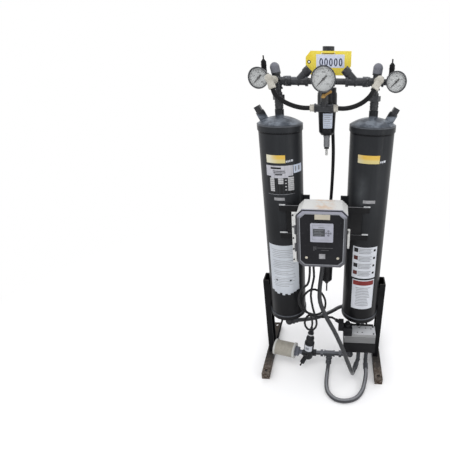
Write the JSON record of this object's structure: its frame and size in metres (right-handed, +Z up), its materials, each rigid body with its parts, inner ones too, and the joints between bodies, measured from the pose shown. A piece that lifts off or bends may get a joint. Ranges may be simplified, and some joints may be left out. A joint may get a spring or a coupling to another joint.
{
  "type": "desiccant air dryer",
  "caption": "Free-standing desiccant compressed-air dryer: upright towers on channel feet, top manifold with gauges and purge line, control box, filters, switching valve and exhaust muffler.",
  "frame": {"origin": "on the floor under the middle of the overall box, midway between the two tower axes", "axes": "+Z up, +X to the right and +Y away from a viewer who faces the control box"},
  "size_m": [0.606, 0.4789, 1.49],
  "materials": {
    "vessel_paint": "satin gloss charcoal",
    "frame_paint": "worn satin black",
    "desiccant": "matte",
    "steel_screen": "brushed",
    "black_iron": "cast, semi-matt",
    "cap_grey": "satin grey",
    "relief_black": "satin black",
    "gauge_case": "satin black",
    "needle": "matt",
    "clear_lens": "clear",
    "filter_black": "satin black",
    "drain_grey": "satin",
    "brass": "dull brass",
    "cream_plastic": "satin cream",
    "hose_rubber": "matt rubber",
    "cable_black": "satin",
    "tag_yellow": "matt yellow",
    "box_white": "matt off-white",
    "board_green": "matt",
    "cover_grey": "matt grey",
    "plate_black": "satin black",
    "display_grey": "matt grey",
    "latch_grey": "satin",
    "valve_black": "satin black",
    "muffler_tan": "fibrous",
    "valve_silver": "extruded aluminium",
    "coil_black": "matt black"
  },
  "bodies": {
    "stand": {"left_leg": "frame_paint", "right_leg": "frame_paint", "left_vessel": "vessel_paint", "right_vessel": "vessel_paint", "left_bed": "desiccant", "right_bed": "desiccant", "strainers": "steel_screen", "fill_plugs": "black_iron", "tower_nipples": "black_iron", "unions": "black_iron", "left_cross": "black_iron", "right_cross": "black_iron", "port_caps": "cap_grey", "manifold_nipples": "black_iron", "left_check_valve": "black_iron", "right_check_valve": "black_iron", "gauge_blocks": "black_iron", "relief_valves": "relief_black", "left_gauge": "gauge_case", "right_gauge": "gauge_case", "centre_gauge": "gauge_case", "gauge_lenses": "clear_lens", "outlet_cross": "black_iron", "outlet_riser": "black_iron", "filter_head": "filter_black", "filter_bowl": "filter_black", "filter_drain": "drain_grey", "purge_takeoff": "black_iron", "purge_valve": "brass", "purge_tee": "black_iron", "purge_fittings": "cream_plastic", "purge_elbows": "cream_plastic", "left_purge_hose": "hose_rubber", "right_purge_hose": "hose_rubber", "hang_tag": "tag_yellow", "box_bracket": "frame_paint", "control_box": "box_white", "control_board": "board_green", "prefilter": "filter_black", "exhaust_valve": "valve_black", "muffler": "muffler_tan", "exhaust_pipe": "black_iron", "valve_body": "valve_silver", "valve_base": "valve_black", "solenoid": "coil_black", "tower_elbow": "black_iron", "loop_hose": "hose_rubber", "feed_hose": "hose_rubber", "crossover_hose": "hose_rubber", "solenoid_cable": "cable_black", "exhaust_cable": "cable_black", "drain_tube": "cable_black"},
    "cover": {"box_cover": "cover_grey", "faceplate": "plate_black", "display": "display_grey"},
    "latch": {"cover_latch": "latch_grey"},
    "handle": {"purge_handle": "brass"},
    "left_needle": {"left_pointer": "needle"},
    "right_needle": {"right_pointer": "needle"},
    "centre_needle": {"centre_pointer": "needle"}
  },
  "joints": [
    {"name": "cover_hinge", "type": "hinge", "parent": "stand", "child": "cover", "pos_m": [-0.104, -0.19145, 0.835], "axis": [0, 0, -1], "range_deg": [0, 105]},
    {"name": "latch_hinge", "type": "hinge", "parent": "stand", "child": "latch", "pos_m": [0.099, -0.16545, 0.832], "axis": [0, 0, 1], "range_deg": [0, 95]},
    {"name": "purge_valve_turn", "type": "hinge", "parent": "stand", "child": "handle", "pos_m": [-0.006, -0.078, 1.334], "axis": [0, 1, 0], "range_deg": [0, 90]},
    {"name": "left_gauge_turn", "type": "hinge", "parent": "stand", "child": "left_needle", "pos_m": [-0.236, -0.048, 1.387], "axis": [0, 1, 0], "range_deg": [0, 270]},
    {"name": "right_gauge_turn", "type": "hinge", "parent": "stand", "child": "right_needle", "pos_m": [0.241, -0.048, 1.38], "axis": [0, 1, 0], "range_deg": [0, 270]},
    {"name": "centre_gauge_turn", "type": "hinge", "parent": "stand", "child": "centre_needle", "pos_m": [-0.006, -0.114, 1.388], "axis": [0, 1, 0], "range_deg": [0, 270]}
  ]
}
